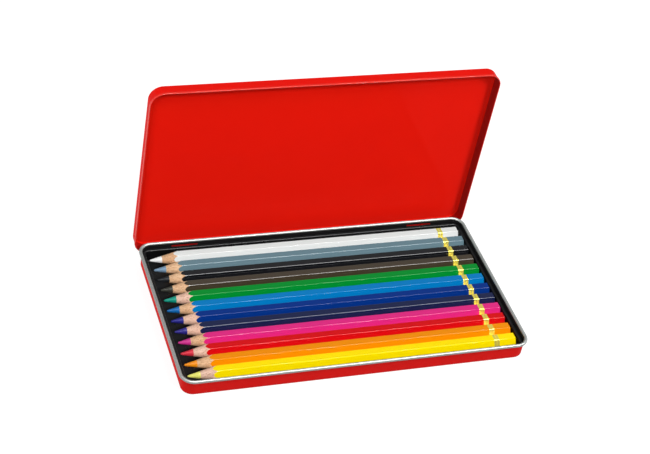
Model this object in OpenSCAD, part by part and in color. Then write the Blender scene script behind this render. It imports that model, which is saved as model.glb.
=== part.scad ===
/* [Base tin] */
// Height of the base from the table to the top of its rolled rim
base_h = 10.45; // [10:0.05:16]
// Corner radius of the base, on the centre line of its rim
corner_r = 6.5; // [6:0.5:9]
// Thickness of the tin sheet, used for the base, the lid and the hinge tongues
sheet = 0.3; // [0.2:0.05:0.4]
// Outside radius of the rolled rim
rim_r = 0.85; // [0.75:0.05:1.1]
// How far the curl of the rim turns down on its outside, in degrees past level
curl_turn = 50; // [20:5:80]
// Outside radius of the bend between the floor and the walls
floor_bend = 1.3; // [1:0.1:1.8]

/* [Lid] */
// Gap between the outside of the rim and the outside of the lid skirt
lid_over = 0.8; // [0.8:0.05:1.6]
// Outside corner radius of the lid
lid_corner_r = 7.4; // [7:0.1:8]
// Height of the closed lid's hem above the table
hem_up = 3.4; // [2.5:0.1:4]
// Outside radius of the bend between the lid panel and its skirt
lid_bend = 1.4; // [0.8:0.1:1.8]
// Thickness of the folded hem along the edge of the skirt
hem_t = 0.65; // [0.55:0.05:0.75]
// Height of the folded hem
hem_h = 1.2; // [0.9:0.1:1.5]
// How far the folded hem stands out from the skirt
hem_out = 0.3; // [0:0.05:0.3]
// Gap between the closed lid panel and the top of the rim
lid_seat = 0.05; // [0.02:0.01:0.2]
// Angle that the lid stands open at, from closed
open_angle = 87.3; // [0:0.1:100]

/* [Hinge] */
// Distance of each hinge from the middle of the tin
hinge_x = 66.9; // [40:0.5:70]
// Width of each tongue that is bent out of the rear wall
tongue_w = 13.6; // [8:0.2:20]
// Radius of the hem roll that turns inside the tongues
pin_r = 0.45; // [0.35:0.05:0.5]
// Distance of the hem roll's axis from the outside of the lid skirt
pin_inset = 0.5; // [0.45:0.05:0.6]
// Running gap between the hem roll and its tongue
pin_gap = 0.07; // [0.03:0.01:0.1]
// Gap at each side of a tongue, in its window and in the lid's notch
tongue_side = 0.3; // [0.2:0.05:0.6]
// Height of the notch in the skirt that lets the tongue turn, above the hem
notch_h = 2.7; // [2.2:0.1:3.5]

/* [Tray] */
// Thickness of the moulded tray
tray_t = 0.4; // [0.3:0.05:0.45]
// Gap between the tray's edge and the inside of the tin wall
tray_gap = 0.2; // [0.1:0.05:0.4]
// Width of the flange round the tray's well
flange_w = 1.95; // [1.8:0.05:3]
// Corner radius of the well, at its floor
well_corner = 1.8; // [1.7:0.1:2]
// Least width of the flat flange outside the fold, at the corners of the well
corner_land = 0.2; // [0.1:0.05:0.4]
// Depth of the tray's flange below the top of the rim
flange_drop = 2.85; // [2.6:0.05:3.5]
// Radius of the fold from the flange down into the well
tray_fold = 0.5; // [0.45:0.05:0.6]
// How far the well narrows towards its floor
tray_draft = 0.2; // [0:0.05:0.3]
// Height of the raised floor above the foot that runs round it
floor_step = 0.75; // [0.4:0.05:0.8]
// Width of the foot channel between the well wall and the raised floor
foot_w = 0.8; // [0.5:0.1:0.8]
// Gap between the tray's foot and the tin floor
tray_seat = 0.05; // [0.02:0.01:0.2]

/* [Pencils] */
// Width of a pencil across its flats
flats = 6.85; // [6.5:0.05:7.2]
// Width of a pencil across its rounded edges
edges = 7.74; // [7.5:0.02:7.9]
// Distance between the axes of two neighbouring pencils
pitch = 7.86; // [7.8:0.01:8]
// Overall length of a pencil
pencil_len = 174.8; // [160:0.2:176]
// Thickness of the coloured lacquer
lacquer_t = 0.15; // [0.1:0.01:0.2]
// Thickness of the dipped lacquer over the butt end
dip_t = 0.6; // [0.3:0.1:1]
// Diameter of the coloured lead
lead_d = 3.7; // [2:0.1:4]
// Half angle of the sharpened cone, in degrees
cone_angle = 12.8; // [9:0.1:16]
// Radius of the worn tip of the lead
tip_r = 0.55; // [0.2:0.05:0.7]
// Glue gap round the lead and under the lacquer
glue = 0.02; // [0.01:0.01:0.04]
// Gap between the pencils and the floor of the tray
lie_gap = 0.03; // [0.01:0.01:0.1]

/* [Room in the well] */
// Free length in the well beyond the pencils, at its floor
end_room = 2.6; // [1.6:0.1:8]
// Part of that free length that lies at the butt ends
butt_room = 0.75; // [0.3:0.05:0.8]
// Free depth in the well beyond the row, at its floor
row_room = 2.5; // [2:0.1:8]
// Part of that free depth that lies behind the row, on the hinge side
rear_room = 0.6; // [0.3:0.1:1]

/* [Hidden] */
e = 0.01;
// the well's half sizes at its floor, from the pencils and their free room
count = 12;
row_dep = (count - 1) * pitch + edges;
well_x = (pencil_len + end_room) / 2;
well_y = (row_dep + row_room) / 2;
// base: half sizes to the rim's centre line, and the height of that line; the
// border is wide enough for the well's corners to clear the tin's round ones
corner_need = (corner_r - well_corner) * (1 - cos(45))
    + (rim_r + tray_gap + tray_draft + tray_fold + corner_land) * cos(45);
border = max(rim_r + tray_gap + flange_w + tray_draft, corner_need);
hx = well_x + border;
hy = well_y + border;
rim_z = base_h - rim_r;
wall_in = corner_r - rim_r;
wall_out = wall_in + sheet;
// lid: half sizes to the outside of its skirt, its top and its skirt
lid_x = hx + rim_r + lid_over;
lid_y = hy + rim_r + lid_over;
lid_top = base_h + lid_seat + sheet;
skirt_h = lid_top - hem_up;
// hinge axis, along X behind the rear wall
axis_y = lid_y - pin_inset;
axis_z = hem_up + pin_inset;
knuckle_in = pin_r + pin_gap;
knuckle_out = knuckle_in + sheet;
window_z = axis_z + knuckle_out;
window_top = rim_z - rim_r - 0.4;
// tray: heights of the flange, the foot and the raised floor
tray_out = wall_in - tray_gap;
flange_z = base_h - flange_drop;
foot_z = sheet + tray_seat;
tray_floor = foot_z + tray_t + floor_step;
well_top = well_corner + tray_draft;
// pencils: the axis height of the row, and the cone that sharpens them
axis_h = tray_floor + lie_gap + flats / 2;
cone_k = tan(cone_angle);
tip_len = tip_r * (1 - sin(cone_angle)) / sin(cone_angle);
cone_len = edges / 2 / cone_k + tip_r;
// small shifts of the pencils along the row, as they lie in the photograph
shifts = [-0.3, 0.2, 0.1, 0.1, 0.2, 0, 0.2, 0.2, 0.2, -0.3, -0.3, -0.5];

// points of an arc in a profile
function arc(x, y, r, a0, a1, n) =
    [for (i = [0 : n]) [x + r * cos(a0 + (a1 - a0) * i / n), y + r * sin(a0 + (a1 - a0) * i / n)]];

// sweeps a profile round a rounded rectangle with half sizes a and b; the
// profile's x runs outwards from the centre of the corner of radius r
module sweep(a, b, r) {
    for (s = [0 : 3]) {
        along = (s % 2 == 0) ? 2 * (b - r) : 2 * (a - r);
        out = (s % 2 == 0) ? a - r : b - r;
        rotate([0, 0, 90 * s]) {
            translate([out, along / 2, 0]) rotate([90, 0, 0]) linear_extrude(along) children();
            translate([out, along / 2, 0]) rotate_extrude(angle = 90, $fn = 96) children();
        }
    }
}

// floor, bend, wall and rolled rim of the base
module base_profile() {
    square([wall_out - floor_bend, sheet]);
    intersection() {
        translate([wall_out - floor_bend, floor_bend]) difference() {
            circle(floor_bend, $fn = 64);
            circle(floor_bend - sheet, $fn = 64);
        }
        translate([wall_out - floor_bend, 0]) square(floor_bend);
    }
    translate([wall_in, floor_bend]) square([sheet, rim_z - floor_bend]);
    translate([corner_r, rim_z]) difference() {
        circle(rim_r, $fn = 64);
        circle(rim_r - sheet, $fn = 64);
        polygon([[0, 0], [-2 * rim_r, 0], [-2 * rim_r, -2 * rim_r],
            [2 * rim_r / tan(curl_turn), -2 * rim_r]]);
    }
}

// a tongue lanced from the rear wall, bent out and curled round the hem roll
module tongue() {
    translate([-tongue_w / 2, 0, 0]) rotate([90, 0, 90]) linear_extrude(tongue_w) {
        translate([hy - corner_r + wall_in, window_z - sheet])
            square([axis_y - hy + corner_r - wall_in, sheet]);
        translate([axis_y, axis_z]) difference() {
            circle(knuckle_out, $fn = 64);
            circle(knuckle_in, $fn = 64);
            polygon([[0, 0], [0, 2 * knuckle_out], [-2 * knuckle_out, 2 * knuckle_out],
                [-2 * knuckle_out, -knuckle_out / 2]]);
        }
    }
}

module base_shell() {
    color([0.83, 0.12, 0.11]) {
        difference() {
            union() {
                sweep(hx, hy, corner_r) base_profile();
                translate([corner_r - hx, corner_r - hy, 0])
                    cube([2 * (hx - corner_r), 2 * (hy - corner_r), sheet]);
            }
            for (s = [-1, 1])
                translate([s * hinge_x - tongue_w / 2 - tongue_side, hy - 2 * rim_r, window_z])
                    cube([tongue_w + 2 * tongue_side, 2 * rim_r, window_top - window_z]);
        }
        for (s = [-1, 1]) translate([s * hinge_x, 0, 0]) tongue();
    }
}

// panel, bend, skirt and folded hem of the lid
module lid_profile() {
    r = lid_corner_r;
    translate([0, lid_top - sheet]) square([r - lid_bend, sheet]);
    intersection() {
        translate([r - lid_bend, lid_top - lid_bend]) difference() {
            circle(lid_bend, $fn = 64);
            circle(lid_bend - sheet, $fn = 64);
        }
        translate([r - lid_bend, lid_top - lid_bend]) square(lid_bend);
    }
    translate([r - sheet, hem_up + hem_h]) square([sheet, skirt_h - lid_bend - hem_h]);
    translate([r + hem_out - hem_t, hem_up]) {
        translate([0, hem_t / 2]) square([hem_t, hem_h - hem_t / 2]);
        intersection() {
            translate([hem_t / 2, hem_t / 2]) circle(hem_t / 2, $fn = 48);
            square([hem_t, hem_t / 2]);
        }
    }
}

module lid_closed() {
    a = lid_x - lid_corner_r;
    b = lid_y - lid_corner_r;
    notch_w = tongue_w + 2 * tongue_side;
    difference() {
        union() {
            sweep(lid_x, lid_y, lid_corner_r) lid_profile();
            translate([-a, -b, lid_top - sheet]) cube([2 * a, 2 * b, sheet]);
        }
        for (s = [-1, 1])
            translate([s * hinge_x - notch_w / 2, lid_y - 2 * hem_t, hem_up - hem_t])
                cube([notch_w, 3 * hem_t, notch_h + hem_t]);
    }
    for (s = [-1, 1])
        translate([s * hinge_x - notch_w / 2 - 1, axis_y, axis_z])
            rotate([0, 90, 0]) cylinder(h = notch_w + 2, r = pin_r, $fn = 48);
}

// the lid, turned about the hinge axis to its open angle
module lid_shell() {
    color([0.87, 0.09, 0.05])
        translate([0, axis_y, axis_z]) rotate([-open_angle, 0, 0]) translate([0, -axis_y, -axis_z])
            lid_closed();
}

// flange, well wall, foot channel and the edge of the raised floor; the
// flange runs past the tray's edge, where tray() trims it
module tray_profile() {
    f = tray_fold;
    past = well_top + border;
    polygon(concat(
        [[0, tray_floor], [well_corner - foot_w - floor_step, tray_floor],
            [well_corner - foot_w, foot_z + tray_t]],
        [[well_corner - 0.3, foot_z + tray_t], [well_corner, foot_z + tray_t + 0.3]],
        arc(well_top + f, flange_z - f, f, 180, 90, 6),
        [[past, flange_z], [past, flange_z - tray_t]],
        arc(well_top + f, flange_z - f, f - tray_t, 90, 180, 6),
        [[well_corner + tray_t, foot_z + 0.3 + tray_t * 0.4], [well_corner + tray_t * 0.4, foot_z]],
        [[well_corner - foot_w - tray_t * 0.6, foot_z],
            [well_corner - foot_w - floor_step - tray_t * 0.3, tray_floor - tray_t],
            [0, tray_floor - tray_t]]));
}

// a block with rounded corners, half sizes a and b, from the table up
module rounded_block(a, b, r, h) {
    sweep(a, b, r) square([r, h]);
    translate([r - a, r - b, 0]) cube([2 * (a - r), 2 * (b - r), h]);
}

module tray() {
    inset = rim_r + tray_gap;
    color([0.13, 0.13, 0.14]) intersection() {
        union() {
            sweep(well_x, well_y, well_corner) tray_profile();
            translate([well_corner - well_x, well_corner - well_y, tray_floor - tray_t])
                cube([2 * (well_x - well_corner), 2 * (well_y - well_corner), tray_t]);
        }
        rounded_block(hx - inset, hy - inset, tray_out, base_h);
    }
}

// six flats trimmed by a round at the edges, shrunk by d on every side
module hexagon(d) {
    intersection() {
        rotate([0, 0, 30]) circle(r = (flats / 2 - d) / cos(30), $fn = 6);
        circle(r = edges / 2 - d, $fn = 96);
    }
}

// the turned shape that sharpening leaves, with its point at the origin
module sharpened() {
    intersection() {
        rotate([0, 90, 0]) rotate_extrude($fn = 64)
            polygon(concat([[0, 0]],
                [for (i = [1 : 4]) let (t = i * (90 - cone_angle) / 4)
                    [tip_r * sin(t), tip_r * (1 - cos(t))]],
                [[(cone_len + tip_len) * cone_k, cone_len],
                 [(cone_len + tip_len) * cone_k, pencil_len + 1], [0, pencil_len + 1]]));
        rotate([0, 90, 0]) linear_extrude(pencil_len) children();
    }
}

// puts pencil k at its place in the row
module laid(k) {
    translate([well_x - butt_room - pencil_len + shifts[k],
        well_y - rear_room - edges / 2 - k * pitch, axis_h]) children();
}

module casing(k) {
    color([0.84, 0.64, 0.47]) laid(k) difference() {
        sharpened() hexagon(lacquer_t + glue);
        rotate([0, 90, 0]) cylinder(h = pencil_len - 2 * dip_t, r = lead_d / 2 + glue, $fn = 48);
        translate([pencil_len - dip_t - glue, -flats, -flats]) cube(2 * flats);
    }
}

module lacquer(k, c) {
    color(c) laid(k) difference() {
        sharpened() hexagon(0);
        translate([-1, 0, 0]) rotate([0, 90, 0]) linear_extrude(pencil_len - dip_t + 1) hexagon(lacquer_t);
    }
}

module lead(k, c) {
    color(c) laid(k) difference() {
        sharpened() circle(lead_d / 2, $fn = 48);
        translate([pencil_len - 2 * dip_t - glue, -flats, -flats]) cube(2 * flats);
    }
}

module pencil_white_casing() { casing(0); }
module pencil_white_lacquer() { lacquer(0, [0.90, 0.90, 0.89]); }
module pencil_white_lead() { lead(0, [0.95, 0.95, 0.95]); }
module pencil_grey_casing() { casing(1); }
module pencil_grey_lacquer() { lacquer(1, [0.44, 0.54, 0.58]); }
module pencil_grey_lead() { lead(1, [0.51, 0.63, 0.75]); }
module pencil_black_casing() { casing(2); }
module pencil_black_lacquer() { lacquer(2, [0.15, 0.15, 0.17]); }
module pencil_black_lead() { lead(2, [0.12, 0.12, 0.13]); }
module pencil_brown_casing() { casing(3); }
module pencil_brown_lacquer() { lacquer(3, [0.35, 0.30, 0.25]); }
module pencil_brown_lead() { lead(3, [0.24, 0.23, 0.19]); }
module pencil_green_casing() { casing(4); }
module pencil_green_lacquer() { lacquer(4, [0.00, 0.58, 0.22]); }
module pencil_green_lead() { lead(4, [0.05, 0.55, 0.47]); }
module pencil_sky_casing() { casing(5); }
module pencil_sky_lacquer() { lacquer(5, [0.01, 0.51, 0.78]); }
module pencil_sky_lead() { lead(5, [0.00, 0.43, 0.71]); }
module pencil_ultramarine_casing() { casing(6); }
module pencil_ultramarine_lacquer() { lacquer(6, [0.01, 0.24, 0.54]); }
module pencil_ultramarine_lead() { lead(6, [0.12, 0.12, 0.59]); }
module pencil_navy_casing() { casing(7); }
module pencil_navy_lacquer() { lacquer(7, [0.14, 0.20, 0.35]); }
module pencil_navy_lead() { lead(7, [0.20, 0.16, 0.59]); }
module pencil_magenta_casing() { casing(8); }
module pencil_magenta_lacquer() { lacquer(8, [0.90, 0.25, 0.56]); }
module pencil_magenta_lead() { lead(8, [0.78, 0.24, 0.59]); }
module pencil_red_casing() { casing(9); }
module pencil_red_lacquer() { lacquer(9, [0.87, 0.11, 0.14]); }
module pencil_red_lead() { lead(9, [0.86, 0.20, 0.27]); }
module pencil_orange_casing() { casing(10); }
module pencil_orange_lacquer() { lacquer(10, [0.94, 0.58, 0.01]); }
module pencil_orange_lead() { lead(10, [0.96, 0.55, 0.00]); }
module pencil_yellow_casing() { casing(11); }
module pencil_yellow_lacquer() { lacquer(11, [0.99, 0.89, 0.01]); }
module pencil_yellow_lead() { lead(11, [0.92, 0.90, 0.43]); }

base_shell();
lid_shell();
tray();
pencil_white_casing();
pencil_white_lacquer();
pencil_white_lead();
pencil_grey_casing();
pencil_grey_lacquer();
pencil_grey_lead();
pencil_black_casing();
pencil_black_lacquer();
pencil_black_lead();
pencil_brown_casing();
pencil_brown_lacquer();
pencil_brown_lead();
pencil_green_casing();
pencil_green_lacquer();
pencil_green_lead();
pencil_sky_casing();
pencil_sky_lacquer();
pencil_sky_lead();
pencil_ultramarine_casing();
pencil_ultramarine_lacquer();
pencil_ultramarine_lead();
pencil_navy_casing();
pencil_navy_lacquer();
pencil_navy_lead();
pencil_magenta_casing();
pencil_magenta_lacquer();
pencil_magenta_lead();
pencil_red_casing();
pencil_red_lacquer();
pencil_red_lead();
pencil_orange_casing();
pencil_orange_lacquer();
pencil_orange_lead();
pencil_yellow_casing();
pencil_yellow_lacquer();
pencil_yellow_lead();
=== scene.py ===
import math

import bmesh
import bpy
from mathutils import Matrix, Vector


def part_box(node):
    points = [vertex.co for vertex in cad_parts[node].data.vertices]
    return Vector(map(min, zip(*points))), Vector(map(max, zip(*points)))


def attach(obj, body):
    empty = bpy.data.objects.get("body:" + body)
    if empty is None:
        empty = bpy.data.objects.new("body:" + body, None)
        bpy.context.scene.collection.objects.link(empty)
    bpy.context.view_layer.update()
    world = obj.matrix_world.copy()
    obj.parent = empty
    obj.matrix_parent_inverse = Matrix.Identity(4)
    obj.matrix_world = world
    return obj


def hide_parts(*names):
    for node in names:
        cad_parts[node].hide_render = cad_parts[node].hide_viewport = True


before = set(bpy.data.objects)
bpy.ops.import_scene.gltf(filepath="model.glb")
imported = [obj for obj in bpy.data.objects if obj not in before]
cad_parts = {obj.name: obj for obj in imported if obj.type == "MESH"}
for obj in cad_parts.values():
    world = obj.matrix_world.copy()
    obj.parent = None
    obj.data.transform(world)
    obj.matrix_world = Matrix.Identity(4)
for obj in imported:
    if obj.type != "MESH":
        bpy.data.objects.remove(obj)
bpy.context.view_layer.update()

MM = 0.001

# ---------------------------------------------------------------- sizes, in mm
# Base tin: half sizes to the centre line of the rolled rim, and its sheet.
CORNER_R = 6.5
SHEET = 0.3
RIM_R = 0.85
RIM_TOP = 10.45
FLOOR_BEND = 1.3
CURL_END = -50.0          # where the curl stops on its outside, in degrees
BASE_X, BASE_Y = 91.9, 51.55
RIM_Z = RIM_TOP - RIM_R
WALL_IN = CORNER_R - RIM_R
CORNER_STEPS = 20         # faces round each corner of the sheets
RIM_CORNER_STEPS = 28     # faces round each corner of the rolled rim
BEND_STEPS = 8            # faces round each bend of a sheet
CURL_STEPS = 26           # faces round the rolled rim and inside a tongue's curl

# Lid, as it lies closed: half sizes to the outside of its skirt.
LID_X, LID_Y = 93.55, 53.2
LID_R = 7.4
LID_TOP = 10.8
LID_BEND = 1.4
HEM_Z = 3.4
HEM_T = 0.65
HEM_H = 1.2
HEM_OUT = 0.3             # how far the hem stands out from the skirt
HEM_STEPS = 10
HEM_UNDERSIDE = 4         # faces of the hem's round that carry the skirt's darker red, a painted shade
SKIRT_BEND = 2            # faces of the inner bend that carry the skirt's darker red, a painted shade
LID_ANGLE = -87.3

# Hinge: axis, and the two tongues that are lanced out of the rear wall.
AXIS_Y, AXIS_Z = 52.7, 3.9
HINGE_X = 66.9
TONGUE_W = 13.6
TONGUE_SIDE = 0.3         # free room on each side of a tongue
TONGUE_END = -166.0       # where a tongue's curl stops, in degrees
TONGUE_SUNK = 0.02        # how deep a tongue's root lies in the wall
TONGUE_STEPS = 30
HALF_WINDOW = TONGUE_W / 2 + TONGUE_SIDE
PIN_R = 0.45
PIN_GAP = 0.07
PIN_GRIP = 1              # how far the pin runs into the hem beside its notch
PIN_ROUND = 0.08          # rounding of the pin's ends
PIN_STEPS = 32
NOTCH_H = 2.7
KNUCKLE_IN = PIN_R + PIN_GAP
KNUCKLE_OUT = KNUCKLE_IN + SHEET
WINDOW_LOW = AXIS_Z + KNUCKLE_OUT
WINDOW_DROP = 0.4         # wall left between a window and the rolled rim
WINDOW_TOP = RIM_Z - RIM_R - WINDOW_DROP

# Moulded tray.
TRAY_T = 0.4
TRAY_ROOM = 0.2           # between the tray's edge and the tin's wall
TRAY_OUT = WALL_IN - TRAY_ROOM
FLANGE_Z = 7.6
TRAY_FOLD = 0.5
TRAY_DRAFT = 0.2
FOOT_Z = 0.35
FOOT_W = 0.8
FOOT_ROUND = 0.32         # rounding between the foot channel and the well wall
FOOT_STEPS = 6
UNDER_STEPS = 3           # faces round the underside of the fold
TRAY_FLOOR = 1.5
WELL_X, WELL_Y = 88.7, 48.35
WELL_R = 1.8              # corner radius of the well, at its floor

# Pencils. Lengths along them are measured from the point.
FLATS = 6.85              # width across flats
PENCIL_LEN = 174.8
PAINT_T = 0.15
DIP_T = 0.6               # thickness of the lacquer over the butt end
LEAD_R = 1.85
GLUE = 0.02
CONE_ANGLE = math.radians(12.8)
CONE_K = math.tan(CONE_ANGLE)
TIP_R = 0.55
TIP_LEN = TIP_R * (1 - math.sin(CONE_ANGLE)) / math.sin(CONE_ANGLE)
TIP_STEPS = 5
EDGE_ROUND = 0.55         # rounding of the six edges, tangent to the flats
LEAST_ROUND = 0.06        # what is left of it on a ring that lies deep inside
EDGE_STEPS = 6            # faces round each edge
FLAT_STEPS = 7            # faces across each flat
SCALLOPS_END = 19.0       # just past the scallops that the sharpener leaves
BUTT_ROUND = 0.55         # rounding of the dipped end
BUTT_STEPS = 6
BUTT_BULGE = 0.07         # how far the dipped end stands out past its rounding
BULGE_RING = (0.02, 1.7)  # a ring on the bulge: how far before the end, and its inset

# Gold foil: both ends of each band, from the butt end, and how it lies on the lacquer.
FOIL_BANDS = ((-12.3, -10.94), (-10.8, -9.4))
FOIL_T = 0.018
FOIL_EDGE_T = 0.008
FOIL_SLOPE = 0.06
FOIL_SUNK = 0.03

# name, lacquer colour and lead colour (as they look under plain light), sort of wood, shine of the lacquer
PENCILS = [
    ("white", (230, 231, 229), (255, 255, 255), "tan", 0.2),
    ("grey", (103, 131, 142), (118, 150, 178), "tan", 0.46),
    ("black", (13, 14, 19), (17, 21, 26), "tan", 0.54),
    ("brown", (64, 53, 39), (50, 51, 44), "tan", 0.62),
    ("green", (0, 139, 46), (0, 150, 128), "pink", 0.16),
    ("sky", (0, 121, 189), (0, 104, 180), "tan", 0.16),
    ("ultramarine", (2, 48, 130), (28, 28, 132), "pink", 0.16),
    ("navy", (17, 28, 70), (42, 34, 134), "pink", 0.41),
    ("magenta", (219, 38, 126), (206, 40, 138), "tan", 0.26),
    ("red", (209, 8, 16), (220, 38, 60), "pink", 0.2),
    ("orange", (235, 138, 0), (252, 146, 0), "tan", 0.17),
    ("yellow", (250, 222, 0), (240, 236, 112), "pink", 0.15),
]


def linear(rgb):
    """A colour from 0 to 255 as the shader wants it."""
    out = []
    for c in rgb:
        c /= 255
        out.append(c / 12.92 if c <= 0.04045 else ((c + 0.055) / 1.055) ** 2.4)
    return (*out, 1.0)


# ------------------------------------------------------------- shared effects
NOISE_LOW, NOISE_HIGH = 0.3, 0.7    # nearly all of a noise value lies between these


def effect(name, inputs, outputs):
    """A node group with named inputs and outputs, and its two end nodes."""
    group = bpy.data.node_groups.new(name, "ShaderNodeTree")
    for label, kind, value in inputs:
        socket = group.interface.new_socket(label, in_out="INPUT", socket_type=kind)
        socket.default_value = value
    for label, kind in outputs:
        group.interface.new_socket(label, in_out="OUTPUT", socket_type=kind)
    return group, group.nodes.new("NodeGroupInput"), group.nodes.new("NodeGroupOutput")


def wire(tree, source, target):
    tree.links.new(source, target)


def maths(tree, operation, *values):
    """A Math node, with each value a number or a socket."""
    node = tree.nodes.new("ShaderNodeMath")
    node.operation = operation
    for slot_no, value in enumerate(values):
        if isinstance(value, (int, float)):
            node.inputs[slot_no].default_value = value
        else:
            wire(tree, value, node.inputs[slot_no])
    return node.outputs[0]


def cloud(tree, scale, detail=2.0, rough=0.5, stretch=None):
    """Noise over the piece's own coordinates, in patches of 1/scale metres."""
    coords = tree.nodes.new("ShaderNodeTexCoord").outputs["Object"]
    if stretch:
        mapping = tree.nodes.new("ShaderNodeMapping")
        mapping.inputs["Scale"].default_value = stretch
        wire(tree, coords, mapping.inputs["Vector"])
        coords = mapping.outputs["Vector"]
    noise = tree.nodes.new("ShaderNodeTexNoise")
    wire(tree, coords, noise.inputs["Vector"])
    if isinstance(scale, (int, float)):
        noise.inputs["Scale"].default_value = scale
    else:
        wire(tree, scale, noise.inputs["Scale"])
    noise.inputs["Detail"].default_value = detail
    noise.inputs["Roughness"].default_value = rough
    return noise.outputs["Fac"]


def remap(tree, value, low, high, new_low, new_high):
    """Takes a value from one range to another, and holds it at the ends."""
    node = tree.nodes.new("ShaderNodeMapRange")
    ends = (("From Min", low), ("From Max", high), ("To Min", new_low), ("To Max", new_high))
    for label, end in ends:
        node.inputs[label].default_value = end
    wire(tree, value, node.inputs["Value"])
    return node.outputs["Result"]


def spread(tree, noise, low, high):
    """Takes a noise value, which stays near a half, to the range low to high."""
    return remap(tree, noise, NOISE_LOW, NOISE_HIGH, low, high)


def blend_colours(tree, factor, first, second, kind="MIX"):
    """A Mix node for colours: its factor is socket 0, its colours are 6 and 7, and its result is output 2."""
    node = tree.nodes.new("ShaderNodeMix")
    node.data_type = "RGBA"
    node.blend_type = kind
    for socket, value in zip((node.inputs[0], node.inputs[6], node.inputs[7]), (factor, first, second)):
        if isinstance(value, (int, float, tuple)):
            socket.default_value = value
        else:
            wire(tree, value, socket)
    return node.outputs[2]


def lacquer_effect():
    """Stoved or dipped lacquer: slow shifts of its colour, orange peel, and a gloss that isn't quite even."""
    group, given, made = effect(
        "lacquer_coat",
        [("Colour", "NodeSocketColor", (0.8, 0.1, 0.1, 1)), ("Shift", "NodeSocketFloat", 0.06),
         ("Peel Scale", "NodeSocketFloat", 900.0), ("Dullness", "NodeSocketFloat", 0.3)],
        [("Colour", "NodeSocketColor"), ("Roughness", "NodeSocketFloat"), ("Peel", "NodeSocketFloat")])
    slow_scale, haze_scale = 45.0, 210.0
    shade = (0.80, 0.76, 0.76, 1)
    slow = spread(group, cloud(group, slow_scale, 3.0), 0.0, 1.0)
    share = maths(group, "MULTIPLY", slow, given.outputs["Shift"])
    darker = blend_colours(group, 1.0, given.outputs["Colour"], shade, "MULTIPLY")
    wire(group, blend_colours(group, share, given.outputs["Colour"], darker), made.inputs["Colour"])
    haze = spread(group, cloud(group, haze_scale, 4.0, 0.6), 0.9, 1.13)
    wire(group, maths(group, "MULTIPLY", given.outputs["Dullness"], haze), made.inputs["Roughness"])
    wire(group, cloud(group, given.outputs["Peel Scale"], 1.5), made.inputs["Peel"])
    return group


def drawn_metal_effect():
    """Drawn or rolled metal: fine lines along it and a patchy dullness."""
    group, given, made = effect(
        "drawn_metal",
        [("Colour", "NodeSocketColor", (0.8, 0.8, 0.8, 1)), ("Dullness", "NodeSocketFloat", 0.25),
         ("Patch", "NodeSocketFloat", 0.12)],
        [("Colour", "NodeSocketColor"), ("Roughness", "NodeSocketFloat"), ("Lines", "NodeSocketFloat")])
    line_stretch, patch_scale = (900.0, 900.0, 5200.0), 160.0
    shade, most_shade = (0.78, 0.77, 0.76, 1), 0.35
    patch = cloud(group, patch_scale, 3.0)
    share = maths(group, "MULTIPLY", spread(group, patch, 0.0, 1.0), most_shade)
    darker = blend_colours(group, 1.0, given.outputs["Colour"], shade, "MULTIPLY")
    wire(group, blend_colours(group, share, given.outputs["Colour"], darker), made.inputs["Colour"])
    uneven = maths(group, "MULTIPLY", given.outputs["Patch"], spread(group, patch, -0.5, 0.5))
    wire(group, maths(group, "ADD", given.outputs["Dullness"], uneven), made.inputs["Roughness"])
    wire(group, cloud(group, 1.0, 3.0, 0.6, stretch=line_stretch), made.inputs["Lines"])
    return group


LACQUER = lacquer_effect()
DRAWN = drawn_metal_effect()


# ------------------------------------------------------------------ materials
def new_finish(name, **constants):
    """A material with one Principled shader, whose plain values are set on it."""
    material = bpy.data.materials.new(name)
    material.use_nodes = True
    shader = material.node_tree.nodes["Principled BSDF"]
    for label, value in constants.items():
        shader.inputs[label.replace("_", " ")].default_value = value
    return material, material.node_tree, shader


def bump(tree, shader, height, strength, distance=0.0002):
    """Raises the shader's surface by a height value, over a distance in metres."""
    node = tree.nodes.new("ShaderNodeBump")
    node.inputs["Strength"].default_value = strength
    node.inputs["Distance"].default_value = distance
    wire(tree, height, node.inputs["Height"])
    wire(tree, node.outputs["Normal"], shader.inputs["Normal"])


def use_effect(tree, group, **values):
    """Places a shared effect in a material, with its own values."""
    node = tree.nodes.new("ShaderNodeGroup")
    node.node_tree = group
    for label, value in values.items():
        node.inputs[label.replace("_", " ")].default_value = value
    return node


def lacquer_finish(name, colour, dullness, specular, shift, peel, peel_depth, clear=0.0):
    """A lacquer, whose colour shifts slowly, with its orange peel and the clear coat over it."""
    material, tree, shader = new_finish(name, Specular_IOR_Level=specular, Coat_Weight=clear,
                                        Coat_Roughness=0.08)
    coat = use_effect(tree, LACQUER, Colour=linear(colour), Shift=shift, Peel_Scale=peel, Dullness=dullness)
    wire(tree, coat.outputs["Colour"], shader.inputs["Base Color"])
    wire(tree, coat.outputs["Roughness"], shader.inputs["Roughness"])
    bump(tree, shader, coat.outputs["Peel"], peel_depth, distance=0.0004)
    return material


def red_tin_finish(name, colour, dullness, shift, peel_depth, clear):
    """Red lacquer stoved on the tin plate, which shines only by its clear coat."""
    return lacquer_finish(name, colour, dullness, specular=0.0, shift=shift, peel=520.0,
                          peel_depth=peel_depth, clear=clear)


def black_tin_finish():
    """The inside of the base, coloured near black where it shows dark between the tray and the rim."""
    return lacquer_finish("base_inside_near_black", (20, 19, 20), dullness=0.4, specular=0.2, shift=0.4,
                          peel=600.0, peel_depth=0.05)


def pencil_paint_finish(colour, rgb, shine):
    """The dipped lacquer of one pencil."""
    return lacquer_finish(f"pencil_lacquer_{colour}", rgb, dullness=0.13, specular=shine, shift=0.1,
                          peel=420.0, peel_depth=0.002)


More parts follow.
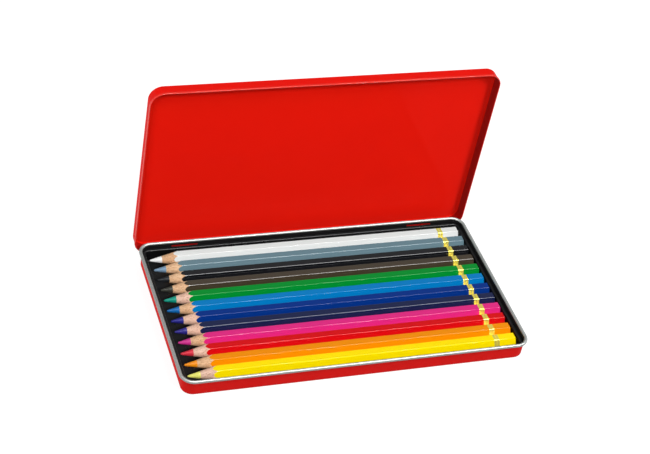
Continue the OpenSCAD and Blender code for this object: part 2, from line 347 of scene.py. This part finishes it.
def metal_finish(name, colour, dullness, patch, lines, metallic):
    """A metal: patch is how uneven its dullness is, and lines how deep its drawing lines are."""
    material, tree, shader = new_finish(name, Metallic=metallic)
    metal = use_effect(tree, DRAWN, Colour=linear(colour), Dullness=dullness, Patch=patch)
    wire(tree, metal.outputs["Colour"], shader.inputs["Base Color"])
    wire(tree, metal.outputs["Roughness"], shader.inputs["Roughness"])
    bump(tree, shader, metal.outputs["Lines"], lines)
    return material


def tray_finish():
    """Black moulded sheet: a fine grain all over and slightly greyer rubbed patches."""
    black, rubbed = linear((8, 8, 9)), linear((13, 13, 15))
    rub_scale, dull_scale, grain_scale = 120.0, 260.0, 3200.0
    material, tree, shader = new_finish("black_tray_sheet", Specular_IOR_Level=0.3)
    rub = spread(tree, cloud(tree, rub_scale, 4.0, 0.6), 0.0, 1.0)
    wire(tree, blend_colours(tree, rub, black, rubbed), shader.inputs["Base Color"])
    wire(tree, spread(tree, cloud(tree, dull_scale, 3.0), 0.26, 0.36), shader.inputs["Roughness"])
    bump(tree, shader, cloud(tree, grain_scale, 2.0), 0.12)
    return material


def wood_finish(name, pale, warm, streak):
    """Sharpened pencil wood: streaks along the pencil, dark pores, and the marks of the cutter round it."""
    pore_colour, pore_start, pore_strength = linear((140, 92, 62)), 0.59, 0.44
    board_scale = 70.0
    material, tree, shader = new_finish(name, Specular_IOR_Level=0.2)
    streaks = cloud(tree, 1.0, 4.0, 0.65, stretch=(160.0, 1500.0, 1500.0))
    pores = cloud(tree, 1.0, 2.0, 0.5, stretch=(700.0, 2400.0, 2400.0))
    cutter = cloud(tree, 1.0, 2.0, 0.5, stretch=(2600.0, 500.0, 500.0))
    board = spread(tree, cloud(tree, board_scale, 1.0), 0.0, 1.0)
    pale_or_warm = blend_colours(tree, board, linear(pale), linear(warm))
    grained = blend_colours(tree, spread(tree, streaks, 0.0, 0.75), pale_or_warm, linear(streak))
    pore_mask = maths(tree, "MULTIPLY", maths(tree, "GREATER_THAN", pores, pore_start), pore_strength)
    wire(tree, blend_colours(tree, pore_mask, grained, pore_colour), shader.inputs["Base Color"])
    wire(tree, spread(tree, streaks, 0.58, 0.74), shader.inputs["Roughness"])
    relief = maths(tree, "ADD", maths(tree, "MULTIPLY", streaks, 0.8), maths(tree, "MULTIPLY", cutter, 0.5))
    bump(tree, shader, relief, 0.35)
    return material


def lead_finish(colour, rgb):
    """Waxy pigment of one pencil: a slight bloom, and grains that catch the light."""
    deepening, blooming = 0.93, 0.05
    grain_scale, dull_scale = 1900.0, 700.0
    material, tree, shader = new_finish(f"pencil_lead_{colour}", Specular_IOR_Level=0.16)
    deep = linear([c * deepening for c in rgb])
    bloom = linear([c + (255 - c) * blooming for c in rgb])
    grains = cloud(tree, grain_scale, 3.0, 0.6)
    wire(tree, blend_colours(tree, spread(tree, grains, 0.0, 0.8), deep, bloom), shader.inputs["Base Color"])
    wire(tree, spread(tree, cloud(tree, dull_scale), 0.42, 0.6), shader.inputs["Roughness"])
    bump(tree, shader, grains, 0.16)
    return material


# name, colour, dullness, shift of the colour, depth of the peel, clear coat
RED_BASE = red_tin_finish("red_base_lacquer", (226, 23, 19), 0.36, 0.24, 0.02, 0.1)
# The lid's outside, and its pins, are a darker copy of the red inside it: painted shade, so that the top,
# which the lamps light most, doesn't come out too bright.
RED_LID_PAINTED_SHADE = red_tin_finish("red_lid_outside_painted_shade", (234, 23, 14), 0.34, 0.24, 0.02, 0.12)
# The folded hem is a paler red under a strong clear coat: the paler colour is a painted highlight along the
# hem's edge.
RED_FOLD_PAINTED_HIGHLIGHT = red_tin_finish("red_folded_edge_painted_highlight", (234, 42, 30), 0.3, 0.12, 0.01, 0.55)
# The skirt's inside, the hem's underside and the start of the inner bend are a darker red: painted shade in
# the lid's inner corners and behind the hinge windows.
RED_SKIRT_PAINTED_SHADE = red_tin_finish("red_skirt_inside_painted_shade", (196, 13, 7), 0.42, 0.3, 0.01, 0.02)
RED_INSIDE = red_tin_finish("red_lid_inside", (243, 26, 13), 0.4, 0.12, 0.01, 0.03)
BLACK_INSIDE = black_tin_finish()
# name, colour, dullness, unevenness, depth of the lines, share of metal
BARE_RIM = metal_finish("bare_tinplate", (150, 153, 151), 0.5, 0.06, 0.0, 0.85)
GOLD_FOIL = metal_finish("gold_foil", (255, 236, 106), 0.18, 0.06, 0.01, 0.5)
BLACK_TRAY = tray_finish()
WOODS = {"tan": wood_finish("sharpened_wood_tan", (238, 202, 162), (228, 182, 138), (196, 140, 98)),
         "pink": wood_finish("sharpened_wood_pink", (242, 208, 188), (232, 190, 166), (204, 152, 126))}


# ------------------------------------------------------------- mesh helpers
def piece(name, bm, materials, body, replaces=(), sharp=32.0):
    """Makes an object from a bmesh in millimetres, smooth up to sharp degrees, and puts it on its body."""
    weld = 0.0004
    bmesh.ops.remove_doubles(bm, verts=bm.verts, dist=weld)
    bmesh.ops.recalc_face_normals(bm, faces=bm.faces)
    for face in bm.faces:
        face.smooth = True
    for edge in bm.edges:
        edge.smooth = edge.calc_face_angle(0.0) < math.radians(sharp)
    bmesh.ops.scale(bm, vec=(MM, MM, MM), verts=bm.verts)
    mesh = bpy.data.meshes.new(name)
    bm.to_mesh(mesh)
    bm.free()
    obj = bpy.data.objects.new(name, mesh)
    bpy.context.scene.collection.objects.link(obj)
    for material in materials:
        mesh.materials.append(material)
    even = obj.modifiers.new("even_shading", "WEIGHTED_NORMAL")
    even.keep_sharp = True
    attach(obj, body)
    if replaces:
        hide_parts(*replaces)
    return obj


def arc(cx, cy, r, start, end, steps):
    """Points of an arc, with its angles in degrees."""
    return [(cx + r * math.cos(math.radians(start + (end - start) * i / steps)),
             cy + r * math.sin(math.radians(start + (end - start) * i / steps))) for i in range(steps + 1)]


def corners(half_x, half_y, radius, steps=CORNER_STEPS):
    """Stations round a rounded rectangle: corner centre and outward direction."""
    stations = []
    for quarter, (sx, sy) in enumerate(((1, 1), (-1, 1), (-1, -1), (1, -1))):
        for i in range(steps + 1):
            turn = math.radians(90 * quarter + 90 * i / steps)
            stations.append((sx * (half_x - radius), sy * (half_y - radius), math.cos(turn), math.sin(turn)))
    return stations


def swept(profile, stations, closed=True, bands=()):
    """Sweeps a profile of (distance outwards from the corner centre, height) round the stations.
    A third number in a profile point picks one of several rounds of stations, so that corners may
    have different radii. An open profile is closed by one face at each end. Each number in bands is
    where the next material starts."""
    bm = bmesh.new()
    rounds = stations if isinstance(stations[0], list) else [stations]
    rings = []
    for n in range(len(rounds[0])):
        ring = []
        for px, pz, *which in profile:
            cx, cy, dx, dy = rounds[which[0] if which else 0][n]
            ring.append(bm.verts.new((cx + dx * px, cy + dy * px, pz)))
        rings.append(ring)
    last = len(profile) if closed else len(profile) - 1
    for s, ring in enumerate(rings):
        ahead = rings[(s + 1) % len(rings)]
        for i in range(last):
            j = (i + 1) % len(profile)
            face = bm.faces.new((ring[i], ahead[i], ahead[j], ring[j]))
            face.material_index = sum(i >= start for start in bands)
    if not closed:
        bm.faces.new([ring[0] for ring in rings])
        top = bm.faces.new([ring[-1] for ring in rings])
        top.material_index = len(bands)
    return bm


def block(low, high):
    """A cutter's box, as a bmesh."""
    bm = bmesh.new()
    bmesh.ops.create_cube(bm, size=1.0)
    size = [h - l for l, h in zip(low, high)]
    middle = [(h + l) / 2 for l, h in zip(low, high)]
    bmesh.ops.scale(bm, vec=size, verts=bm.verts)
    bmesh.ops.translate(bm, vec=middle, verts=bm.verts)
    return bm


def cut(bm, boxes):
    """Takes the boxes out of a closed bmesh, and gives it back with clean faces."""
    scratch = []
    for n, builder in enumerate([bm, *boxes]):
        bmesh.ops.recalc_face_normals(builder, faces=builder.faces)
        mesh = bpy.data.meshes.new(f"scratch_{n}")
        builder.to_mesh(mesh)
        builder.free()
        obj = bpy.data.objects.new(f"scratch_{n}", mesh)
        bpy.context.scene.collection.objects.link(obj)
        scratch.append(obj)
    for cutter in scratch[1:]:
        step = scratch[0].modifiers.new("cut", "BOOLEAN")
        step.operation, step.solver, step.object = "DIFFERENCE", "EXACT", cutter
    bpy.context.view_layer.update()
    result = bmesh.new()
    result.from_mesh(scratch[0].evaluated_get(bpy.context.evaluated_depsgraph_get()).to_mesh())
    for obj in scratch:
        mesh = obj.data
        bpy.data.objects.remove(obj)
        bpy.data.meshes.remove(mesh)
    return result


def extruded(profile, low_x, high_x, round_off=0.0):
    """A bar along X with a closed (y, z) profile; its long ends may be rounded off a little."""
    bm = bmesh.new()
    rings = [[bm.verts.new((x, y, z)) for y, z in profile] for x in (low_x, high_x)]
    for i in range(len(profile)):
        j = (i + 1) % len(profile)
        bm.faces.new((rings[0][i], rings[0][j], rings[1][j], rings[1][i]))
    ends = [bm.faces.new(rings[0]), bm.faces.new(rings[1])]
    if round_off:
        rims = list({edge for end in ends for edge in end.edges})
        bmesh.ops.bevel(bm, geom=rims, offset=round_off, segments=2, profile=0.6, affect="EDGES")
    return bm


def at_hinges(low_y, high_y, low_z, high_z):
    """A cutter's box at each hinge, as wide as a tongue with its free room."""
    return [block((s * HINGE_X - HALF_WINDOW, low_y, low_z), (s * HINGE_X + HALF_WINDOW, high_y, high_z))
            for s in (-1, 1)]


# ------------------------------------------------------------------- base tin
def base_tin():
    """Floor, floor bend and walls of the base, red outside and black inside, with a window at each hinge."""
    out = WALL_IN + SHEET
    mid = out - FLOOR_BEND
    outside = [(mid, 0.0)] + arc(mid, FLOOR_BEND, FLOOR_BEND, -90, 0, BEND_STEPS)[1:] + [(out, RIM_Z)]
    inside = [(WALL_IN, RIM_Z)] + arc(mid, FLOOR_BEND, FLOOR_BEND - SHEET, 0, -90, BEND_STEPS)
    sheet = swept(outside + inside, corners(BASE_X, BASE_Y, CORNER_R), closed=False,
                  bands=[len(outside)])
    windows = at_hinges(BASE_Y - 2 * RIM_R, BASE_Y, WINDOW_LOW, WINDOW_TOP)
    return piece("base_tin", cut(sheet, windows), [RED_BASE, BLACK_INSIDE],
                 "base", ["base_shell"])


def rolled_rim():
    """The bare rim: the wall's top turned outwards into a bead."""
    outer = arc(CORNER_R, RIM_Z, RIM_R, 180, CURL_END, CURL_STEPS)
    inner = arc(CORNER_R, RIM_Z, RIM_R - SHEET, CURL_END, 180, CURL_STEPS)
    rim = swept(outer + inner, corners(BASE_X, BASE_Y, CORNER_R, RIM_CORNER_STEPS))
    return piece("rolled_rim", rim, [BARE_RIM], "base")


def hinge_tongue(side, s):
    """A tongue lanced from the rear wall, bent out through its window and curled round the lid's pin."""
    top, low = WINDOW_LOW, WINDOW_LOW - SHEET
    root = BASE_Y - CORNER_R + WALL_IN + TONGUE_SUNK
    profile = [(root, low), (root, top)]
    profile += arc(AXIS_Y, AXIS_Z, KNUCKLE_OUT, 90, TONGUE_END, TONGUE_STEPS)
    profile += arc(AXIS_Y, AXIS_Z, KNUCKLE_IN, TONGUE_END, 90, CURL_STEPS)
    bar = extruded(profile, s * HINGE_X - TONGUE_W / 2, s * HINGE_X + TONGUE_W / 2)
    return piece(f"hinge_tongue_{side}", bar, [RED_BASE], "base")


# ------------------------------------------------------------------------ lid
def swung_open(bm):
    """Turns the closed lid about the hinge axis to the angle that it stands at."""
    hinge = Vector((0, AXIS_Y, AXIS_Z))
    turned = Matrix.Rotation(math.radians(LID_ANGLE), 4, "X")
    turn = Matrix.Translation(hinge) @ turned @ Matrix.Translation(-hinge)
    bmesh.ops.transform(bm, matrix=turn, verts=bm.verts)
    return bm


def lid_tin():
    """Panel, bend, skirt and folded hem of the lid, with a notch in the hem at each hinge."""
    r = LID_R
    mid = r - LID_BEND
    fold = HEM_T / 2
    rim, high = r + HEM_OUT, HEM_Z + HEM_H
    outside = [(mid, LID_TOP)] + arc(mid, LID_TOP - LID_BEND, LID_BEND, 90, 0, BEND_STEPS)[1:]
    # The hem stands out from the skirt in a small shoulder, hollow at its top and round at its edge.
    hem = [(r, high + 0.06), (r + 0.04, high + 0.005), (rim - 0.1, high), (rim - 0.02, high - 0.04),
           (rim, high - 0.12)]
    hem += arc(rim - fold, HEM_Z + fold, fold, 0, -180, HEM_STEPS)
    step = [(rim - HEM_T, high - 0.03), (r - SHEET, high)]
    inside = arc(mid, LID_TOP - LID_BEND, LID_BEND - SHEET, 0, 90, BEND_STEPS)
    hem_end = len(outside + hem)
    sheet = swept(outside + hem + step + inside, corners(LID_X, LID_Y, LID_R), closed=False,
                  bands=[len(outside), hem_end - HEM_UNDERSIDE, hem_end + len(step) + SKIRT_BEND])
    notches = at_hinges(LID_Y - 2 * HEM_T, LID_Y + HEM_T, HEM_Z - HEM_T, HEM_Z + NOTCH_H)
    lid = piece("lid_tin", swung_open(cut(sheet, notches)), [RED_LID_PAINTED_SHADE, RED_FOLD_PAINTED_HIGHLIGHT, RED_SKIRT_PAINTED_SHADE, RED_INSIDE],
                "lid", ["lid_shell"])
    # The glow of the red lid would turn the white pencil pink, which the photograph doesn't show.
    lid.visible_glossy = lid.visible_diffuse = False
    return lid


def hinge_pin(side, s):
    """The hem roll that crosses the notch inside the tongue."""
    half = HALF_WINDOW + PIN_GRIP
    circle = arc(AXIS_Y, AXIS_Z, PIN_R, 0, 360, PIN_STEPS)[:-1]
    bar = extruded(circle, s * HINGE_X - half, s * HINGE_X + half, PIN_ROUND)
    return piece(f"hinge_pin_{side}", swung_open(bar), [RED_LID_PAINTED_SHADE], "lid")


# ----------------------------------------------------------------------- tray
def tray():
    """The moulded tray: flange, folded well wall, foot channel and raised floor. The well's corners are
    tighter than the flange's, which follow the tin."""
    top = WELL_R + TRAY_DRAFT
    f, t = TRAY_FOLD, TRAY_T
    step_x = WELL_R - FOOT_W
    channel = FOOT_Z + t
    # From the raised floor down its rounded step, along the foot channel, up the wall and out over the fold.
    face = [(step_x - 0.85, TRAY_FLOOR), (step_x - 0.7, TRAY_FLOOR - 0.05),
            (step_x - 0.08, channel + 0.1), (step_x + 0.06, channel + 0.02), (step_x + 0.2, channel)]
    face += arc(WELL_R - FOOT_ROUND, channel + FOOT_ROUND, FOOT_ROUND, -90, 0, FOOT_STEPS)
    face += arc(top + f, FLANGE_Z - f, f, 180, 90, BEND_STEPS)
    face += [(TRAY_OUT - 0.08, FLANGE_Z, 1), (TRAY_OUT - 0.02, FLANGE_Z - 0.02, 1),
             (TRAY_OUT, FLANGE_Z - 0.08, 1)]
    # And back along the underside, one sheet's thickness behind.
    back = [(TRAY_OUT, FLANGE_Z - t, 1)] + arc(top + f, FLANGE_Z - f, f - t, 90, 180, UNDER_STEPS)
    back += [(WELL_R + t, FOOT_Z + 0.5), (WELL_R + t - 0.1, FOOT_Z + 0.12), (WELL_R + 0.15, FOOT_Z),
             (step_x - 0.24, FOOT_Z), (step_x - 0.9, TRAY_FLOOR - t)]
    rounds = [corners(WELL_X, WELL_Y, WELL_R), corners(BASE_X, BASE_Y, CORNER_R)]
    sheet = swept(face + back, rounds, closed=False)
    return piece("moulded_tray", sheet, [BLACK_TRAY], "base", ["tray"])


# -------------------------------------------------------------------- pencils
def hex_ring(inset):
    """(y, z) points round a hexagon with rounded edges, shrunk by inset. Two of its edges point along Y."""
    rounding = max(EDGE_ROUND - inset, LEAST_ROUND)
    reach = (FLATS / 2 - inset - rounding) / math.cos(math.radians(30))
    edges = []
    for middle in range(0, 360, 60):
        cy, cz = reach * math.cos(math.radians(middle)), reach * math.sin(math.radians(middle))
        edges.append(arc(cy, cz, rounding, middle - 30, middle + 30, EDGE_STEPS))
    points = []
    for edge, after in zip(edges, edges[1:] + edges[:1]):
        (y, z), (end_y, end_z) = edge[-1], after[0]
        points += edge
        points += [(y + (end_y - y) * i / FLAT_STEPS, z + (end_z - z) * i / FLAT_STEPS)
                   for i in range(1, FLAT_STEPS)]
    return points


def round_ring(radius):
    """(y, z) points round a circle, at the same angles as a hexagon's ring."""
    return [(radius * y / math.hypot(y, z), radius * z / math.hypot(y, z)) for y, z in hex_ring(0.0)]


def on_cone(ring):
    """Gives each point the x at which the sharpener's cone meets it."""
    return [(math.hypot(y, z) / CONE_K - TIP_LEN, y, z) for y, z in ring]


def at(x, ring):
    return [(x, y, z) for y, z in ring]


def joined(place, rings, looped):
    """Joins each ring along a pencil to the next one, and if looped the last to the first."""
    bm = bmesh.new()
    ox, oy, oz = place
    made = [[bm.verts.new((ox + x, oy + y, oz + z)) for x, y, z in ring] for ring in rings]
    for ring, ahead in zip(made, made[1:] + made[:looped]):
        for i in range(len(ring)):
            j = (i + 1) % len(ring)
            bm.faces.new((ring[i], ring[j], ahead[j], ahead[i]))
    return bm, made


def lofted(place, rings, start_x, end_x):
    """Joins rings along the pencil and closes both ends on its axis. place is the pencil's point."""
    bm, made = joined(place, rings, False)
    ox, oy, oz = place
    for ring, x in ((made[0], start_x), (made[-1], end_x)):
        tip = bm.verts.new((ox + x, oy, oz))
        for i in range(len(ring)):
            bm.faces.new((ring[i], ring[(i + 1) % len(ring)], tip))
    return bm


def paint(place):
    """The lacquer: scalloped where the sharpener cut it, and dipped over the butt end."""
    end = PENCIL_LEN
    rings = [at(end - DIP_T, hex_ring(PAINT_T)), on_cone(hex_ring(PAINT_T)), on_cone(hex_ring(0.0)),
             at(SCALLOPS_END, hex_ring(0.0)), at(end - BUTT_ROUND, hex_ring(0.0))]
    for i in range(1, BUTT_STEPS + 1):
        turn = math.radians(90 * i / BUTT_STEPS)
        x = end - BUTT_BULGE - BUTT_ROUND * (1 - math.sin(turn))
        rings.append(at(x, hex_ring(BUTT_ROUND * (1 - math.cos(turn)))))
    before_end, inset = BULGE_RING
    rings.append(at(end - before_end, hex_ring(inset)))
    return lofted(place, rings, end - DIP_T, end)


def bare_wood(place):
    """The casing: a cone of bare wood, then the hexagon under the lacquer, with the lead's bore."""
    bore_end, end = PENCIL_LEN - 2 * DIP_T, PENCIL_LEN - DIP_T - GLUE
    bore = round_ring(LEAD_R + GLUE)
    skin = hex_ring(PAINT_T + GLUE)
    cone = []
    for share in (0.25, 0.5, 0.75):
        between = [(b[0] + (s[0] - b[0]) * share, b[1] + (s[1] - b[1]) * share) for b, s in zip(bore, skin)]
        cone.append(on_cone(between))
    rings = [at(bore_end, bore), on_cone(bore), *cone, on_cone(skin), at(end, skin)]
    return lofted(place, rings, bore_end, end)


def lead_core(place):
    """The lead: a worn round tip, its cone, and the core inside the wood."""
    end = PENCIL_LEN - 2 * DIP_T - GLUE
    rings = []
    for i in range(1, TIP_STEPS + 1):
        turn = (math.pi / 2 - CONE_ANGLE) * i / TIP_STEPS
        rings.append(at(TIP_R * (1 - math.cos(turn)), round_ring(TIP_R * math.sin(turn))))
    rings += [on_cone(round_ring(radius)) for radius in (0.8, 1.35, LEAD_R)]
    rings.append(at(end, round_ring(LEAD_R)))
    return lofted(place, rings, 0.0, end)


def foil_bands(place):
    """Two bands of gold foil near the butt end, with a hairline of lacquer between them."""
    both = bmesh.new()
    for low, high in FOIL_BANDS:
        a, b = PENCIL_LEN + low, PENCIL_LEN + high
        outline = ((a, FOIL_SUNK), (a, -FOIL_EDGE_T), (a + FOIL_SLOPE, -FOIL_T),
                   (b - FOIL_SLOPE, -FOIL_T), (b, -FOIL_EDGE_T), (b, FOIL_SUNK))
        band = joined(place, [at(x, hex_ring(inset)) for x, inset in outline], True)[0]
        mesh = bpy.data.meshes.new("scratch_band")
        band.to_mesh(mesh)
        band.free()
        both.from_mesh(mesh)
        bpy.data.meshes.remove(mesh)
    return both


def pencil(colour, paint_rgb, lead_rgb, wood, shine):
    """One pencil, placed by its own solids: the butt end and the axis of its lacquer."""
    low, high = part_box(f"pencil_{colour}_lacquer")
    place = (high.x / MM - PENCIL_LEN, (low.y + high.y) / 2 / MM, (low.z + high.z) / 2 / MM)
    body = f"pencil_{colour}"
    gloss = pencil_paint_finish(colour, paint_rgb, shine)
    waxy = lead_finish(colour, lead_rgb)
    piece(f"pencil_{colour}_paint", paint(place), [gloss], body,
          [f"pencil_{colour}_lacquer"], sharp=24)
    piece(f"pencil_{colour}_wood", bare_wood(place), [WOODS[wood]], body,
          [f"pencil_{colour}_casing"])
    piece(f"pencil_{colour}_point", lead_core(place), [waxy], body,
          [f"pencil_{colour}_lead"], sharp=45)
    piece(f"pencil_{colour}_foil", foil_bands(place), [GOLD_FOIL], body, sharp=40)


base_tin()
rolled_rim()
lid_tin()
tray()
for side_name, side_sign in (("left", -1), ("right", 1)):
    hinge_tongue(side_name, side_sign)
    hinge_pin(side_name, side_sign)
for row in PENCILS:
    pencil(*row)


# ------------------------------------------------------- floor, light, camera
WORLD_FILL = 0.24         # light from all round
FLOOR_GREY = 0.24
FLOOR_HALF = 3.0          # half the floor's width, in metres
FLOOR_DROP = 0.00002      # metres that the floor lies under the tin
NEAR, FAR = 0.35, 0.8     # metres from the middle of the floor
LIFT_NEAR = 0.88          # glow of the floor up to the near distance
LIFT_FAR = 1.0            # and from the far distance on


def shows_background(tree):
    """1 for camera, glossy and transmission rays, which see the plain white, and 0 for the rest."""
    path = tree.nodes.new("ShaderNodeLightPath")
    seen = maths(tree, "MAXIMUM", path.outputs["Is Camera Ray"], path.outputs["Is Glossy Ray"])
    return maths(tree, "MAXIMUM", seen, path.outputs["Is Transmission Ray"])


def floor_finish():
    """Grey to the light, so that it throws little back, and lifted to white for the camera."""
    material = bpy.data.materials.new("pale_floor")
    material.use_nodes = True
    tree = material.node_tree
    tree.nodes.clear()
    matt = tree.nodes.new("ShaderNodeBsdfDiffuse")
    matt.inputs["Color"].default_value = (FLOOR_GREY, FLOOR_GREY, FLOOR_GREY, 1)
    reach = tree.nodes.new("ShaderNodeVectorMath")
    reach.operation = "LENGTH"
    wire(tree, tree.nodes.new("ShaderNodeTexCoord").outputs["Object"], reach.inputs[0])
    level = remap(tree, reach.outputs["Value"], NEAR, FAR, LIFT_NEAR, LIFT_FAR)
    lift = tree.nodes.new("ShaderNodeEmission")
    wire(tree, maths(tree, "MULTIPLY", shows_background(tree), level), lift.inputs["Strength"])
    both = tree.nodes.new("ShaderNodeAddShader")
    wire(tree, matt.outputs[0], both.inputs[0])
    wire(tree, lift.outputs[0], both.inputs[1])
    wire(tree, both.outputs[0], tree.nodes.new("ShaderNodeOutputMaterial").inputs["Surface"])
    return material


def studio_floor():
    """The floor, which fades into the white behind it."""
    bm = bmesh.new()
    bmesh.ops.create_grid(bm, x_segments=8, y_segments=8, size=FLOOR_HALF)
    mesh = bpy.data.meshes.new("studio_floor")
    bm.to_mesh(mesh)
    bm.free()
    floor = bpy.data.objects.new("studio_floor", mesh)
    bpy.context.scene.collection.objects.link(floor)
    mesh.materials.append(floor_finish())
    floor.location.z = -FLOOR_DROP


def studio_world():
    """White to the camera and in gloss, and a weak fill for the rest."""
    world = bpy.data.worlds.new("studio")
    bpy.context.scene.world = world
    world.use_nodes = True
    tree = world.node_tree
    back = tree.nodes["Background"]
    back.inputs["Color"].default_value = (1, 1, 1, 1)
    above_fill = maths(tree, "MULTIPLY", shows_background(tree), 1 - WORLD_FILL)
    wire(tree, maths(tree, "ADD", above_fill, WORLD_FILL), back.inputs["Strength"])


def softbox(name, place, aim, size_x, size_y, watts):
    """A lamp that lights the tin but is not seen in its gloss."""
    lamp = bpy.data.lights.new(name, "AREA")
    lamp.shape = "RECTANGLE"
    lamp.size, lamp.size_y = size_x, size_y
    lamp.energy = watts
    obj = bpy.data.objects.new(name, lamp)
    bpy.context.scene.collection.objects.link(obj)
    obj.location = place
    obj.rotation_mode = "QUATERNION"
    obj.rotation_quaternion = (Vector(aim) - Vector(place)).to_track_quat("-Z", "Y")
    obj.visible_glossy = False


def reflected_card(name, low, high, glow):
    """A glowing card between two corners, level in Y or in Z, that only gloss and metal see."""
    (x0, y0, z0), (x1, y1, z1) = low, high
    bm = bmesh.new()
    outline = ((x0, y0, z0), (x1, y0, z0), (x1, y1, z1), (x0, y1, z1))
    bm.faces.new([bm.verts.new(corner) for corner in outline])
    mesh = bpy.data.meshes.new(name)
    bm.to_mesh(mesh)
    bm.free()
    card = bpy.data.objects.new(name, mesh)
    bpy.context.scene.collection.objects.link(card)
    material = bpy.data.materials.new(name)
    material.use_nodes = True
    shader = material.node_tree.nodes["Principled BSDF"]
    shader.inputs["Base Color"].default_value = (0, 0, 0, 1)
    shader.inputs["Specular IOR Level"].default_value = 0
    shader.inputs["Emission Color"].default_value = (1, 1, 1, 1)
    shader.inputs["Emission Strength"].default_value = glow
    mesh.materials.append(material)
    card.visible_camera = card.visible_diffuse = card.visible_shadow = card.visible_transmission = False


def photo_camera():
    """The photograph's own view: its place, its turn and its lens, as fitted to the edges of the tin."""
    place = Vector((-271.03, -588.80, 575.08)) * MM
    azimuth, elevation, roll = (math.radians(a) for a in (-23.82, 38.85, 10.61))
    focal_pixels, photo_width, sensor = 1648.53, 650, 36.0
    level = math.cos(elevation)
    back = Vector((math.sin(azimuth) * level, -math.cos(azimuth) * level, math.sin(elevation)))
    right = Vector((math.cos(azimuth), math.sin(azimuth), 0.0))
    up = back.cross(right)
    turned_right = right * math.cos(roll) + up * math.sin(roll)
    turned_up = up * math.cos(roll) - right * math.sin(roll)
    data = bpy.data.cameras.new("photo_camera")
    data.sensor_fit, data.sensor_width = "HORIZONTAL", sensor
    data.lens = focal_pixels / photo_width * sensor
    data.clip_start, data.clip_end = 0.05, 20.0
    camera = bpy.data.objects.new("photo_camera", data)
    bpy.context.scene.collection.objects.link(camera)
    axes = Matrix((turned_right, turned_up, back)).transposed().to_4x4()
    camera.matrix_world = Matrix.Translation(place) @ axes
    bpy.context.scene.camera = camera


studio_floor()
studio_world()
# name, place, aim, width, height, watts
softbox("key_softbox", (0.3, -0.5, 1.02), (0, 0, 0), 0.4, 0.4, 4.2)
softbox("front_fill_right", (0.5, -0.9, 0.98), (0, 0.03, 0.04), 0.3, 0.26, 8.6)
softbox("front_fill_left", (-0.66, -0.9, 0.96), (0, 0.03, 0.04), 0.3, 0.26, 5.3)
softbox("left_wall_fill", (-0.9, 0.17, 0.14), (-0.09, 0, 0.01), 0.3, 0.2, 3.6)
softbox("rear_fill", (0.25, 1.15, 0.2), (0, 0.06, 0.05), 0.5, 0.2, 6.5)
# name, low corner, high corner, glow
reflected_card("key_card", (-0.4, -0.55, 1.05), (1.1, -0.2, 1.05), 28)
reflected_card("front_card", (-1.1, -0.95, 0.0), (1.4, -0.95, 0.62), 0.01)
reflected_card("rear_card", (-0.6, 0.75, 0.1), (1.2, 0.75, 1.3), 0.34)
photo_camera()
bpy.context.scene.view_settings.view_transform = "Standard"
